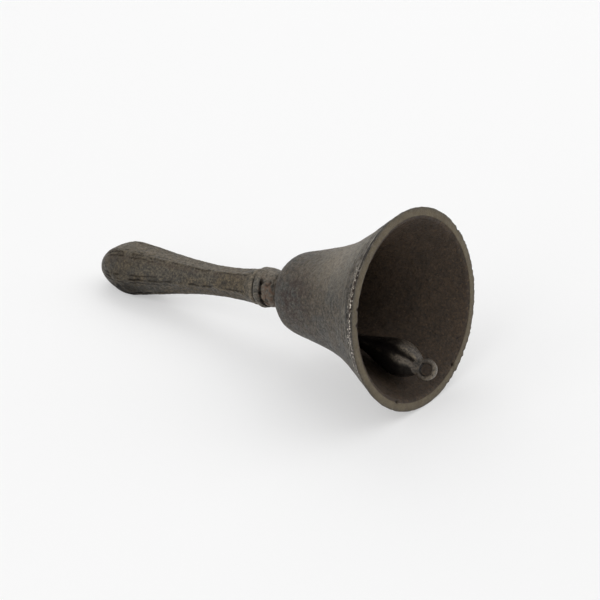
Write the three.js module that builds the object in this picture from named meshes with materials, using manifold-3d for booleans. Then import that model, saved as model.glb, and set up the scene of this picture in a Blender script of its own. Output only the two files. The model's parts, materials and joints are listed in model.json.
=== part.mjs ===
// A cast iron hand bell for calling service, lying on its side: the mouth's lowest point and one
// facet of the knob touch the ground. Millimetres, +Z up, the mouth towards +X.
//
// The pieces are built in the bell's own axes, which one group then tilts and places:
//   x runs along the bell's axis, 0 at the mouth, positive out of the mouth
//   y runs sideways, z is up from the axis
// Distances called "depth" are measured from the mouth plane towards the handle, so x = -depth.

import * as THREE from "three";
import { mergeVertices } from "three/addons/utils/BufferGeometryUtils.js";
import Module from "manifold-3d";

const wasm = await Module();
wasm.setup();

// ---- Driving dimensions ------------------------------------------------------------------

const gap = 0.3; // between pieces that touch
const mouthRadius = 40;
const lipWall = 3.8; // thickness at the ground rim
const cupWall = 3.2; // thickness of the rest of the cup
const crownDepth = 60.6; // outside of the flat crown
const crownRadius = 8;
const crownWall = 4;
const shoulderDepth = 50;
const shoulderRadius = 17.4;

const boltRadius = 2.4; // shank of the staple bolt
const boreRadius = boltRadius + 0.4; // its holes, without threads
const boltEndDepth = 90;

const collarEndDepth = 75.3;
const knobDepth = 142.5; // where the handle is thickest
const knobApothem = 10.1;
const handleEndDepth = 160.3;
const cornerShare = 0.28; // corner rounding of the hexagon, as a share of its apothem

const washerRadius = 6;
const washerThick = 1;
const nutFlats = 8;
const nutThick = 4;

const stapleRing = 3.6; // radius of the staple's eye, to the middle of its wire
const stapleWire = 1.3;
const hookLoop = 3.4; // radius of each loop of the hook, to the middle of its wire
const hookWire = 1.1;
const hookSpan = 8; // between the centres of the two loops
const hookTilt = THREE.MathUtils.degToRad(67); // rest angle from the bell's axis

const tailRing = 3.4; // eye at the clapper's hung end
const tailWire = 1.4;
const clapperLength = 43; // between the centres of its two eyes
const clapperDrop = THREE.MathUtils.degToRad(21.5); // rest slope of the clapper towards the wall
const clapperYaw = THREE.MathUtils.degToRad(9.5);
const noseRadius = 4.4; // outside of the eye at the free end
const noseHole = 2.3;
const noseHalfThick = 2.1;
const noseFacing = new THREE.Vector3(0, -0.83, 0.56); // where the free eye's hole looks, roughly

// ---- Geometry helpers --------------------------------------------------------------------

const axisX = new THREE.Vector3(1, 0, 0);
const axisZ = new THREE.Vector3(0, 0, 1);

// Points of a cubic curve between two (depth, radius) points, with its first point left out.
function bend(from, handleA, handleB, to, steps) {
  const curve = new THREE.CubicBezierCurve(
    new THREE.Vector2(...from),
    new THREE.Vector2(...handleA),
    new THREE.Vector2(...handleB),
    new THREE.Vector2(...to),
  );
  return curve.getPoints(steps).slice(1);
}

// A solid of revolution about x. The outline holds (x, radius) points, listed so that the
// material is on the left hand while walking along them.
function turned(outline, segments) {
  const profile = outline.map((p) => new THREE.Vector2(p.y, p.x));
  return new THREE.LatheGeometry(profile, segments).rotateZ(-Math.PI / 2);
}

function solid(geometry) {
  const bare = geometry.clone();
  bare.deleteAttribute("normal");
  bare.deleteAttribute("uv");
  const merged = mergeVertices(bare, 1e-4);
  return new wasm.Manifold(
    new wasm.Mesh({
      numProp: 3,
      vertProperties: merged.attributes.position.array,
      triVerts: new Uint32Array(merged.index.array),
    }),
  );
}

function geometryOf(manifold) {
  const mesh = manifold.getMesh();
  const geometry = new THREE.BufferGeometry();
  geometry.setAttribute("position", new THREE.BufferAttribute(mesh.vertProperties, 3));
  geometry.setIndex(new THREE.BufferAttribute(mesh.triVerts, 1));
  geometry.computeVertexNormals();
  return geometry;
}

// A plain round bar along x between two x values.
function bar(fromX, toX, radius, segments) {
  const geometry = new THREE.CylinderGeometry(radius, radius, toX - fromX, segments);
  return geometry.rotateZ(-Math.PI / 2).translate((fromX + toX) / 2, 0, 0);
}

// A ring of round wire about the given centre, its hole along the given direction.
function wireRing(centre, hole, ringRadius, wireRadius) {
  const turn = new THREE.Quaternion().setFromUnitVectors(axisZ, hole);
  const geometry = new THREE.TorusGeometry(ringRadius, wireRadius, 10, 24);
  return geometry.applyQuaternion(turn).translate(centre.x, centre.y, centre.z);
}

// ---- Places and directions shared by the hanging pieces ----------------------------------

const crownInside = crownDepth - crownWall;
const washerDepth = crownInside - gap;
const nutDepth = washerDepth - washerThick - gap;
const stapleCentre = new THREE.Vector3(-(nutDepth - nutThick - gap - stapleRing - stapleWire), 0, 0);

// The hook swings in the plane that slants 45 degrees to the side of straight down.
const hookSwingAxis = new THREE.Vector3(0, -1, 1).normalize();
const clapperSwingAxis = new THREE.Vector3(0, -1, -1).normalize();
const hookLine = axisX.clone().applyAxisAngle(hookSwingAxis, -hookTilt);
const hookNormal = new THREE.Vector3().crossVectors(hookLine, hookSwingAxis);
const upperLoopReach = stapleRing + hookLoop - stapleWire - hookWire - gap;
const upperLoop = stapleCentre.clone().addScaledVector(hookLine, upperLoopReach);
const lowerLoop = upperLoop.clone().addScaledVector(hookLine, hookSpan);

const clapperLine = new THREE.Vector3(
  Math.cos(clapperDrop) * Math.cos(clapperYaw),
  Math.cos(clapperDrop) * Math.sin(clapperYaw),
  -Math.sin(clapperDrop),
);
// The clapper's hung eye rides on the far side of the hook's lower loop and rocks about its wire.
const loopSide = clapperLine.clone().projectOnPlane(hookSwingAxis).normalize();
const clapperPivot = lowerLoop.clone().addScaledVector(loopSide, hookLoop);
const tailCentre = clapperPivot
  .clone()
  .addScaledVector(clapperLine, tailRing - tailWire - hookWire - gap);
const tailHole = clapperSwingAxis.clone().projectOnPlane(clapperLine).normalize();

const noseHoleLine = noseFacing.clone().projectOnPlane(clapperLine).normalize();

// ---- The pieces --------------------------------------------------------------------------

function cupOutside() {
  return [
    new THREE.Vector2(0, mouthRadius),
    ...bend([0, mouthRadius], [26, 23], [25, 22.9], [shoulderDepth, shoulderRadius], 11),
    ...bend([shoulderDepth, shoulderRadius], [55, 16.3], [60.4, 15.2], [crownDepth, crownRadius], 6),
  ];
}

// The inside follows the outside at the wall's thickness, and ends at a flat under the crown.
function cupInside(outside) {
  const inside = [new THREE.Vector2(0, mouthRadius - lipWall)];
  for (let i = 1; i < outside.length - 1; i++) {
    const along = outside[i + 1].clone().sub(outside[i - 1]).normalize();
    const wall = cupWall + (lipWall - cupWall) * Math.exp(-outside[i].x / 8);
    const point = new THREE.Vector2(
      outside[i].x + along.y * wall,
      outside[i].y - along.x * wall,
    );
    if (point.x > inside.at(-1).x && point.x < crownInside - 1) inside.push(point);
  }
  inside.push(new THREE.Vector2(crownInside, washerRadius + 1));
  return inside;
}

function bellShell() {
  const outside = cupOutside();
  const inside = cupInside(outside);
  const boreOut = new THREE.Vector2(crownDepth, boreRadius);
  const boreIn = new THREE.Vector2(crownInside, boreRadius);
  const outline = [boreOut, ...outside.reverse(), ...inside, boreIn, boreOut];
  return turned(outline.map((p) => new THREE.Vector2(-p.x, p.y)), 64);
}

// The collar between the crown and the handle: a low wide bead, a groove and a tall round bead.
function neckCollar() {
  const start = crownDepth + gap;
  const outline = [
    new THREE.Vector2(start, boreRadius),
    new THREE.Vector2(collarEndDepth, boreRadius),
    new THREE.Vector2(collarEndDepth, 6.9),
    ...bend([collarEndDepth, 6.9], [75.1, 8.5], [71.7, 8.6], [71.4, 6.9], 6),
    ...bend([71.4, 6.9], [70.9, 7.7], [66.8, 7.8], [65.4, 6.2], 5),
    new THREE.Vector2(start, 6.2),
    new THREE.Vector2(start, boreRadius),
  ];
  return turned(outline.map((p) => new THREE.Vector2(-p.x, p.y)), 40);
}

// The handle's apothem along its length, as (depth, apothem) points.
function gripOutline() {
  const lip = collarEndDepth + gap;
  const grip = new THREE.SplineCurve([
    new THREE.Vector2(lip, 6.9),
    new THREE.Vector2(77, 7.35),
    new THREE.Vector2(80, 6.6),
    new THREE.Vector2(86, 5.85),
    new THREE.Vector2(100, 5.7),
    new THREE.Vector2(115, 6.8),
    new THREE.Vector2(130, 8.65),
    new THREE.Vector2(knobDepth, knobApothem),
  ]);
  const domeStart = [knobDepth, knobApothem];
  const domeEnd = [handleEndDepth, 0];
  const dome = bend(domeStart, [152.6, knobApothem], [handleEndDepth, 5.9], domeEnd, 9);
  return [...grip.getPoints(17), ...dome];
}

// How far a rounded hexagon reaches at an angle, for an apothem of 1. One facet faces down.
function hexagonReach(angle, rounding) {
  const third = Math.PI / 3;
  const turns = (angle + Math.PI / 2) / third;
  const fromFacet = Math.abs(turns - Math.round(turns)) * third;
  const flatEnds = Math.atan((1 - rounding) * Math.tan(Math.PI / 6));
  if (fromFacet <= flatEnds) return 1 / Math.cos(fromFacet);
  const centre = (1 - rounding) / Math.cos(Math.PI / 6);
  const fromCorner = Math.PI / 6 - fromFacet;
  return (
    centre * Math.cos(fromCorner) +
    Math.sqrt(rounding ** 2 - (centre * Math.sin(fromCorner)) ** 2)
  );
}

// A hexagonal grip that turns round where it meets the collar and towards the end of its knob,
// with a blind hole for the bolt.
function handle(outline) {
  const start = new THREE.Vector2(outline[0].x, 0);
  const profile = [...outline].reverse().concat(start);
  const geometry = turned(profile.map((p) => new THREE.Vector2(-p.x, p.y)), 48);
  const position = geometry.attributes.position;
  for (let i = 0; i < position.count; i++) {
    const y = position.getY(i);
    const z = position.getZ(i);
    const depth = -position.getX(i);
    const roundNeck = 1 - THREE.MathUtils.smoothstep(depth, 77, 83);
    const roundKnob = THREE.MathUtils.smoothstep(depth, 146, 158);
    const rounding = cornerShare + (1 - cornerShare) * Math.max(roundNeck, roundKnob);
    const reach = hexagonReach(Math.atan2(z, y), rounding);
    position.setXYZ(i, position.getX(i), y * reach, z * reach);
  }
  const hole = bar(-(boltEndDepth + 2 * gap), -collarEndDepth, boreRadius, 24);
  return geometryOf(solid(geometry).subtract(solid(hole)));
}

function stapleBolt() {
  const shankStart = -stapleCentre.x + stapleRing;
  const shank = solid(bar(-boltEndDepth, -shankStart, boltRadius, 24));
  const eye = solid(wireRing(stapleCentre, hookSwingAxis, stapleRing, stapleWire));
  return geometryOf(shank.add(eye));
}

function crownWasher() {
  const [from, to] = [-washerDepth, -(washerDepth - washerThick)];
  const outline = [
    new THREE.Vector2(from, boreRadius),
    new THREE.Vector2(from, washerRadius),
    new THREE.Vector2(to, washerRadius),
    new THREE.Vector2(to, boreRadius),
    new THREE.Vector2(from, boreRadius),
  ];
  return turned(outline, 32);
}

// A hexagon nut, its corners chamfered at both ends.
function crownNut() {
  const [from, to] = [-nutDepth, -(nutDepth - nutThick)];
  const corner = nutFlats / Math.sqrt(3);
  const chamfer = 0.7;
  const blank = bar(from, to, corner, 6);
  const envelope = turned(
    [
      new THREE.Vector2(from, 0),
      new THREE.Vector2(from, corner - chamfer),
      new THREE.Vector2(from + chamfer / 2, corner + 0.1),
      new THREE.Vector2(to - chamfer / 2, corner + 0.1),
      new THREE.Vector2(to, corner - chamfer),
      new THREE.Vector2(to, 0),
    ],
    36,
  );
  const hole = bar(from - 1, to + 1, boreRadius, 24);
  return geometryOf(solid(blank).intersect(solid(envelope)).subtract(solid(hole)));
}

// An S of round wire with a quarter twist: two nearly closed loops, square to each other.
function sHook() {
  const leave = THREE.MathUtils.degToRad(50); // where the shank leaves a loop, from the hook's line
  const turn = THREE.MathUtils.degToRad(280);
  const steps = 15;
  const place = (loop, sideways, angle) =>
    loop
      .clone()
      .addScaledVector(hookLine, hookLoop * Math.cos(angle))
      .addScaledVector(sideways, hookLoop * Math.sin(angle));
  const points = [];
  for (let i = steps; i >= 0; i--) {
    points.push(place(upperLoop, hookSwingAxis, leave + (turn * i) / steps));
  }
  for (let i = 0; i <= steps; i++) {
    points.push(place(lowerLoop, hookNormal, leave + Math.PI + (turn * i) / steps));
  }
  const wire = new THREE.Shape().absarc(0, 0, hookWire, 0, 2 * Math.PI, false);
  return new THREE.ExtrudeGeometry(wire, {
    steps: 54,
    curveSegments: 5,
    bevelEnabled: false,
    extrudePath: new THREE.CatmullRomCurve3(points),
  });
}

// A pear of cast iron, with a wire eye at its hung end and a thick eye at its free end.
// It is built along +X from the centre of the hung eye, then turned into place.
function clapper() {
  const body = new THREE.SplineCurve([
    new THREE.Vector2(3.6, 2.1),
    new THREE.Vector2(8, 2.3),
    new THREE.Vector2(13, 2.7),
    new THREE.Vector2(19, 4.2),
    new THREE.Vector2(24, 6.3),
    new THREE.Vector2(29.5, 7.7),
    new THREE.Vector2(34.5, 7.2),
    new THREE.Vector2(38.5, 5.2),
    new THREE.Vector2(41, 3.4),
  ]).getPoints(15);
  const outline = [new THREE.Vector2(body[0].x, 0), ...body, new THREE.Vector2(body.at(-1).x, 0)];
  const place = new THREE.Matrix4()
    .makeRotationFromQuaternion(new THREE.Quaternion().setFromUnitVectors(axisX, clapperLine))
    .setPosition(tailCentre);
  const pear = solid(turned(outline, 28).applyMatrix4(place));
  const tail = solid(wireRing(tailCentre, tailHole, tailRing, tailWire));

  const noseCentre = tailCentre.clone().addScaledVector(clapperLine, clapperLength);
  const noseTurn = new THREE.Quaternion().setFromUnitVectors(axisX, noseHoleLine);
  const intoPlace = (geometry) =>
    geometry.applyQuaternion(noseTurn).translate(noseCentre.x, noseCentre.y, noseCentre.z);
  const rimMiddle = (noseRadius + noseHole) / 2;
  const rimHalf = (noseRadius - noseHole) / 2;
  const section = new THREE.EllipseCurve(0, rimMiddle, noseHalfThick, rimHalf).getPoints(10);
  const nose = solid(intoPlace(turned(section.reverse(), 26)));
  const hole = solid(intoPlace(bar(-noseRadius, noseRadius, noseHole, 26)));
  return geometryOf(pear.subtract(hole).add(nose).add(tail));
}

// ---- The assembly ------------------------------------------------------------------------

function ironMaterial(colour, roughness) {
  return new THREE.MeshStandardMaterial({ color: colour, roughness, metalness: 0.6 });
}

const castIron = () => ironMaterial(0x4a443c, 0.62);
const darkIron = () => ironMaterial(0x39342e, 0.6);
const oldSteel = () => ironMaterial(0x5c564e, 0.45);

const grip = gripOutline();
const pieces = [
  ["bell_shell", bellShell(), castIron()],
  ["neck_collar", neckCollar(), castIron()],
  ["handle", handle(grip), castIron()],
  ["staple_bolt", stapleBolt(), oldSteel()],
  ["crown_washer", crownWasher(), oldSteel()],
  ["crown_nut", crownNut(), oldSteel()],
  ["s_hook", sHook(), oldSteel()],
  ["clapper", clapper(), darkIron()],
];

const bell = new THREE.Group();
for (const [name, geometry, material] of pieces) {
  const mesh = new THREE.Mesh(geometry, material);
  mesh.name = name;
  bell.add(mesh);
}

// The bell tips back until the knob's lower facet meets the ground that the mouth stands on.
const tilt = Math.atan(
  Math.min(...grip.map((p) => (mouthRadius - p.y) / p.x)),
);
bell.rotation.y = -tilt;
bell.position.z = mouthRadius * Math.cos(tilt);
bell.updateMatrixWorld(true);

// The origin is on the ground, under the middle of the box that holds the whole bell.
const size = new THREE.Box3().setFromObject(bell, true);
bell.position.x = -(size.min.x + size.max.x) / 2;
bell.position.y = -(size.min.y + size.max.y) / 2;
bell.position.z -= size.min.z;

const group = new THREE.Group();
group.add(bell);

export default group;
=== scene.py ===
"""The looks of a cast iron hand bell lying on its side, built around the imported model.

Shapes are worked out in millimetres in the bell's own axes: x runs along the bell's axis, 0 at the
mouth and negative towards the handle, y sideways and z up from the axis. A "depth" is the distance
from the mouth plane, so x = -depth. An "angle" goes round the axis from +y towards +z.
"""

import json
import math

import bpy
import numpy as np
from mathutils import Matrix, Quaternion, Vector, noise


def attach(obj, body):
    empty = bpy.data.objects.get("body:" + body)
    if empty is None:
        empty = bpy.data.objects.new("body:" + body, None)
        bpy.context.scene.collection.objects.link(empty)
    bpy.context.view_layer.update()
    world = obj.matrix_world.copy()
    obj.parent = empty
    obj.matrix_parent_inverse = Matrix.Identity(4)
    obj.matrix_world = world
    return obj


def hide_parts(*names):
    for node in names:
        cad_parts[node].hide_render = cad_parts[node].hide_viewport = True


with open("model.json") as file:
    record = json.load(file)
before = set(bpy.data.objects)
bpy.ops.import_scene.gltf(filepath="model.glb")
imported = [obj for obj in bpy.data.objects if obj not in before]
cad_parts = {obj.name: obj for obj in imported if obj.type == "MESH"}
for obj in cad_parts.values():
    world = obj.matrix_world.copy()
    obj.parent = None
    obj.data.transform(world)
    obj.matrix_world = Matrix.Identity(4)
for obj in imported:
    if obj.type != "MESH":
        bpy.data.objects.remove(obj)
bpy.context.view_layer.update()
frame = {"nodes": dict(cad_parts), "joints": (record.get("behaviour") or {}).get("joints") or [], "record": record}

MM = 0.001
UP = Vector((0, 0, 1))

# ---- Axes and sizes from the frame ----

mouth_mount = frame["record"]["mounts"][0]
bell_axis = Vector(mouth_mount["axis"]).normalized()
mouth_centre = Vector((mouth_mount["pos_m"][0], 0, mouth_mount["pos_m"][2]))


def axes_from(along, across):
    """A 3x3 matrix whose columns are along, across made square to it, and the third axis."""
    x = Vector(along).normalized()
    y = (Vector(across) - x * x.dot(Vector(across))).normalized()
    return Matrix((x, y, x.cross(y))).transposed()


bell_axes = axes_from(bell_axis, (0, 1, 0))


def in_bell_axes(points):
    """Points of the row frame, in metres, as millimetres in the bell's axes."""
    return (np.array(points) - np.array(mouth_centre)) @ np.array(bell_axes) / MM


def node_points(node):
    return in_bell_axes([v.co for v in frame["nodes"][node].data.vertices])


def depths(node):
    """The least and the greatest depth of a CAD node."""
    x = node_points(node)[:, 0]
    return -x.max(), -x.min()


def reach(node):
    """The greatest radius of a CAD node about the bell's axis."""
    points = node_points(node)
    return np.hypot(points[:, 1], points[:, 2]).max()


MOUTH_RADIUS = reach("bell_shell")
CROWN_DEPTH = depths("bell_shell")[1]
COLLAR_START, COLLAR_END = depths("neck_collar")
HANDLE_START, HANDLE_END = depths("handle")
BOLT_END = depths("staple_bolt")[1]
WASHER_START, WASHER_END = depths("crown_washer")
NUT_START, NUT_END = depths("crown_nut")
WASHER_RADIUS = reach("crown_washer")
BORE = 2.8
LIP_WALL = 3.8
CUP_WALL = 3.2
CROWN_WALL = 4.0
MOUTH_INSIDE = MOUTH_RADIUS - LIP_WALL

# ---- Curves ----


def bezier(a, b, c, d, steps=40):
    """Points of a cubic curve from a to d."""
    t = np.linspace(0, 1, steps + 1)[:, None]
    a, b, c, d = (np.array(p, float) for p in (a, b, c, d))
    return (1 - t) ** 3 * a + 3 * t * (1 - t) ** 2 * b + 3 * t**2 * (1 - t) * c + t**3 * d


def spline(knots, steps=12):
    """Points of a smooth curve through the knots."""
    knots = np.array(knots, float)
    padded = np.vstack([knots[:1], knots, knots[-1:]])
    points = []
    for i in range(len(knots) - 1):
        p0, p1, p2, p3 = padded[i : i + 4]
        square = 2 * p0 - 5 * p1 + 4 * p2 - p3
        cube = 3 * p1 - p0 - 3 * p2 + p3
        for t in np.linspace(0, 1, steps, endpoint=False):
            points.append(0.5 * (2 * p1 + (p2 - p0) * t + square * t**2 + cube * t**3))
    return np.vstack([points, knots[-1:]])


def evenly(points, spacing):
    """The same line with its points about spacing apart."""
    points = np.array(points, float)
    lengths = np.r_[0, np.cumsum(np.linalg.norm(np.diff(points, axis=0), axis=1))]
    count = max(1, round(lengths[-1] / spacing))
    at = np.linspace(0, lengths[-1], count + 1)
    return np.stack([np.interp(at, lengths, points[:, k]) for k in range(points.shape[1])], axis=1)


def chain(*stretches):
    """Joins stretches whose ends meet, without repeating the shared points."""
    joined = [stretches[0]]
    for stretch in stretches[1:]:
        joined.append(stretch[1:])
    return np.vstack(joined)


def through(corners, spacings):
    """Straight stretches from corner to corner, each with its own spacing of points."""
    return chain(*(evenly([a, b], gap) for a, b, gap in zip(corners, corners[1:], spacings)))


def smoothstep(low, high, value):
    """0 below low, 1 above high and smooth between. It runs the other way if low is above high."""
    t = np.clip((value - low) / (high - low), 0, 1)
    return t * t * (3 - 2 * t)


def bump_at(value, centre, width):
    """A bell curve: 1 at the centre, and 0.37 at width away from it."""
    return np.exp(-(((value - centre) / width) ** 2))


def angle_gap(angle, centre):
    """The difference between two angles in radians, from -pi to pi."""
    return (angle - centre + math.pi) % (2 * math.pi) - math.pi


def grain(points, size, octaves=3, seed=0):
    """Fractal noise, about -1 to 1, with its largest bumps about size millimetres across."""
    shift = Vector((17.3, 5.1, 9.7)) * seed
    return np.array([noise.fractal(Vector(p) / size + shift, 0.9, 2.1, octaves) for p in points])


# ---- Meshes ----


def to_row_frame(points, axes=bell_axes, origin=mouth_centre):
    """Points in millimetres in some axes, as metres in the row frame."""
    return np.array(origin) + MM * np.asarray(points) @ np.array(axes).T


def mesh_of(name, points, faces, attributes=None):
    """A mesh with smooth faces that point out, with a float on each vertex for each attribute."""
    mesh = bpy.data.meshes.new(name)
    mesh.from_pydata([tuple(p) for p in points], [], faces)
    mesh.update()
    for key, values in (attributes or {}).items():
        layer = mesh.attributes.new(key, "FLOAT", "POINT")
        layer.data.foreach_set("value", np.asarray(values, np.float32))
    mesh.calc_loop_triangles()
    corners = np.zeros(len(mesh.loop_triangles) * 3, np.int32)
    mesh.loop_triangles.foreach_get("vertices", corners)
    triangles = np.asarray(points)[corners.reshape(-1, 3)]
    volume = np.einsum("ij,ij->i", triangles[:, 0], np.cross(triangles[:, 1], triangles[:, 2])).sum()
    if volume < 0:
        mesh.flip_normals()
    mesh.shade_smooth()
    return mesh


def add_piece(name, mesh, material, body, node):
    piece = bpy.data.objects.new(name, mesh)
    bpy.context.scene.collection.objects.link(piece)
    mesh.materials.clear()
    mesh.materials.append(material)
    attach(piece, body)
    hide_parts(node)
    return piece


def ring_faces(rings, sides, closed):
    """Faces between neighbouring rings of points, and from the last ring to the first if closed."""
    faces = []
    for i in range(rings if closed else rings - 1):
        j = (i + 1) % rings
        for k in range(sides):
            m = (k + 1) % sides
            faces.append((i * sides + k, j * sides + k, j * sides + m, i * sides + m))
    return faces


def packed_turns(count, spans, weight=1.6):
    """Angles round the axis, closer together within some (centre, half width) spans in degrees."""
    degrees = np.linspace(0, 360, 3601)
    density = np.ones(len(degrees))
    for centre, half in spans:
        away = np.abs(np.degrees(angle_gap(np.radians(degrees), math.radians(centre))))
        density += weight * smoothstep(half + 10, half, away)
    total = np.r_[0, np.cumsum(density[1:])]
    return np.radians(np.interp(np.linspace(0, total[-1], count, endpoint=False), total, degrees))


class Revolved:
    """A fine surface of revolution about x. The outline holds (depth, radius) points. It closes on
    itself, unless both its ends lie on the axis, where each end becomes one point."""

    def __init__(self, outline, segments, turns=None):
        outline = np.array(outline, float)
        self.capped = outline[0][1] < 1e-9
        if not self.capped and np.allclose(outline[0], outline[-1]):
            outline = outline[:-1]
        rings = outline[1:-1] if self.capped else outline
        before = outline[:-2] if self.capped else np.roll(outline, 1, axis=0)
        after = outline[2:] if self.capped else np.roll(outline, -1, axis=0)
        along = after - before
        along /= np.linalg.norm(along, axis=1)[:, None]
        normal = np.stack([along[:, 1], -along[:, 0]], axis=1)
        closed = np.vstack([outline, outline[:1]])
        area = np.sum(closed[:-1, 0] * closed[1:, 1] - closed[1:, 0] * closed[:-1, 1])
        normal *= np.sign(area)
        turn = np.linspace(0, 2 * math.pi, segments, endpoint=False) if turns is None else turns
        segments = len(turn)
        self.segments = segments
        self.rings = len(rings)
        self.depth = np.repeat(rings[:, 0], segments)
        self.radius = np.repeat(rings[:, 1], segments)
        self.angle = np.tile(turn, self.rings)
        self.out_depth = np.repeat(normal[:, 0], segments)
        self.out_radius = np.repeat(normal[:, 1], segments)
        self.poles = outline[[0, -1], 0] if self.capped else []

    def spots(self):
        """Where each vertex is now."""
        return np.stack(
            [-self.depth, self.radius * np.cos(self.angle), self.radius * np.sin(self.angle)], axis=1
        )

    def push(self, distance):
        """Moves each vertex out of the surface by distance."""
        self.depth = self.depth + self.out_depth * distance
        self.radius = self.radius + self.out_radius * distance

    def closed_points(self):
        """The vertices, with the two end points of a capped surface last."""
        if not self.capped:
            return self.spots()
        return np.vstack([self.spots(), [(-depth, 0, 0) for depth in self.poles]])

    def faces(self):
        n, s = self.rings, self.segments
        faces = ring_faces(n, s, not self.capped)
        if self.capped:
            for k in range(s):
                m = (k + 1) % s
                faces.append((n * s, k, m))
                faces.append((n * s + 1, (n - 1) * s + m, (n - 1) * s + k))
        return faces

    def mesh(self, name, attributes=None):
        values = {key: np.asarray(v, float) for key, v in (attributes or {}).items()}
        if self.capped:
            last_ring = (self.rings - 1) * self.segments
            values = {key: np.r_[v, v[0], v[last_ring]] for key, v in values.items()}
        return mesh_of(name, to_row_frame(self.closed_points()), self.faces(), values)


def swept(path, radius, sides=20, closed=False):
    """Points and faces of round wire along a path. radius holds one number for each path point. Open ends are
    closed by flat caps."""
    path = np.array(path, float)
    n = len(path)
    if closed:
        tangents = np.roll(path, -1, axis=0) - np.roll(path, 1, axis=0)
    else:
        tangents = np.gradient(path, axis=0)
    tangents /= np.linalg.norm(tangents, axis=1)[:, None]
    side = np.cross(tangents[0], (0.31, 0.57, 0.76))
    points = []
    for i in range(n):
        side = side - tangents[i] * side.dot(tangents[i])
        side /= np.linalg.norm(side)
        other = np.cross(tangents[i], side)
        for k in range(sides):
            turn = 2 * math.pi * k / sides
            points.append(path[i] + radius[i] * (math.cos(turn) * side + math.sin(turn) * other))
    faces = ring_faces(n, sides, closed)
    if not closed:
        faces.append(tuple(range(sides)))
        faces.append(tuple((n - 1) * sides + k for k in reversed(range(sides))))
    return np.array(points), faces


def round_ends(path, radius, steps=6):
    """Adds points at both ends of an open wire's path, with radii that round the wire off."""
    path = np.array(path, float)
    least = 0.02
    turns = math.pi / 2 * np.arange(steps, 0, -1) / steps
    widths = radius * np.cos(turns) + least
    before = (path[0] - path[1]) / np.linalg.norm(path[0] - path[1])
    after = (path[-1] - path[-2]) / np.linalg.norm(path[-1] - path[-2])
    head = path[0] + before * radius * np.sin(turns)[:, None]
    tail = path[-1] + after * radius * np.sin(turns)[:, None]
    radii = np.r_[widths, np.full(len(path), radius), widths[::-1]]
    return np.vstack([head, path, tail[::-1]]), radii


def circle(centre, hole, radius, steps):
    """Points of a circle about centre, square to the direction hole."""
    axes = np.array(axes_from(hole, (0.3, 0.5, 0.8)))
    turn = np.linspace(0, 2 * math.pi, steps, endpoint=False)
    return np.array(centre) + radius * (
        np.outer(np.cos(turn), axes[:, 1]) + np.outer(np.sin(turn), axes[:, 2])
    )


def fused(parts, voxel, smoothing):
    """Vertices, normals and faces of one closed surface round several closed parts, in millimetres."""
    points, faces, start = [], [], 0
    for part_points, part_faces in parts:
        points += [tuple(p) for p in part_points]
        faces += [tuple(start + k for k in face) for face in part_faces]
        start += len(part_points)
    mesh = mesh_of("fused", np.array(points), faces)
    holder = bpy.data.objects.new("fused", mesh)
    bpy.context.scene.collection.objects.link(holder)
    remesh = holder.modifiers.new("remesh", "REMESH")
    remesh.mode = "VOXEL"
    remesh.voxel_size = voxel
    smooth = holder.modifiers.new("smooth", "SMOOTH")
    smooth.factor = 0.5
    smooth.iterations = smoothing
    evaluated = holder.evaluated_get(bpy.context.evaluated_depsgraph_get())
    made = bpy.data.meshes.new_from_object(evaluated)
    count = len(made.vertices)
    co = np.zeros(count * 3)
    made.vertices.foreach_get("co", co)
    normals = np.zeros(count * 3, np.float32)
    made.vertex_normals.foreach_get("vector", normals)
    made_faces = [tuple(p.vertices) for p in made.polygons]
    bpy.data.objects.remove(holder)
    bpy.data.meshes.remove(mesh)
    bpy.data.meshes.remove(made)
    return co.reshape(-1, 3), normals.reshape(-1, 3).astype(float), made_faces


# ---- Materials ----


def colour(code):
    """A screen colour such as "5a544b" as the linear colour that the shader takes."""
    parts = [int(code[i : i + 2], 16) / 255 for i in (0, 2, 4)]
    return [c / 12.92 if c <= 0.04045 else ((c + 0.055) / 1.055) ** 2.4 for c in parts] + [1]


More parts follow.
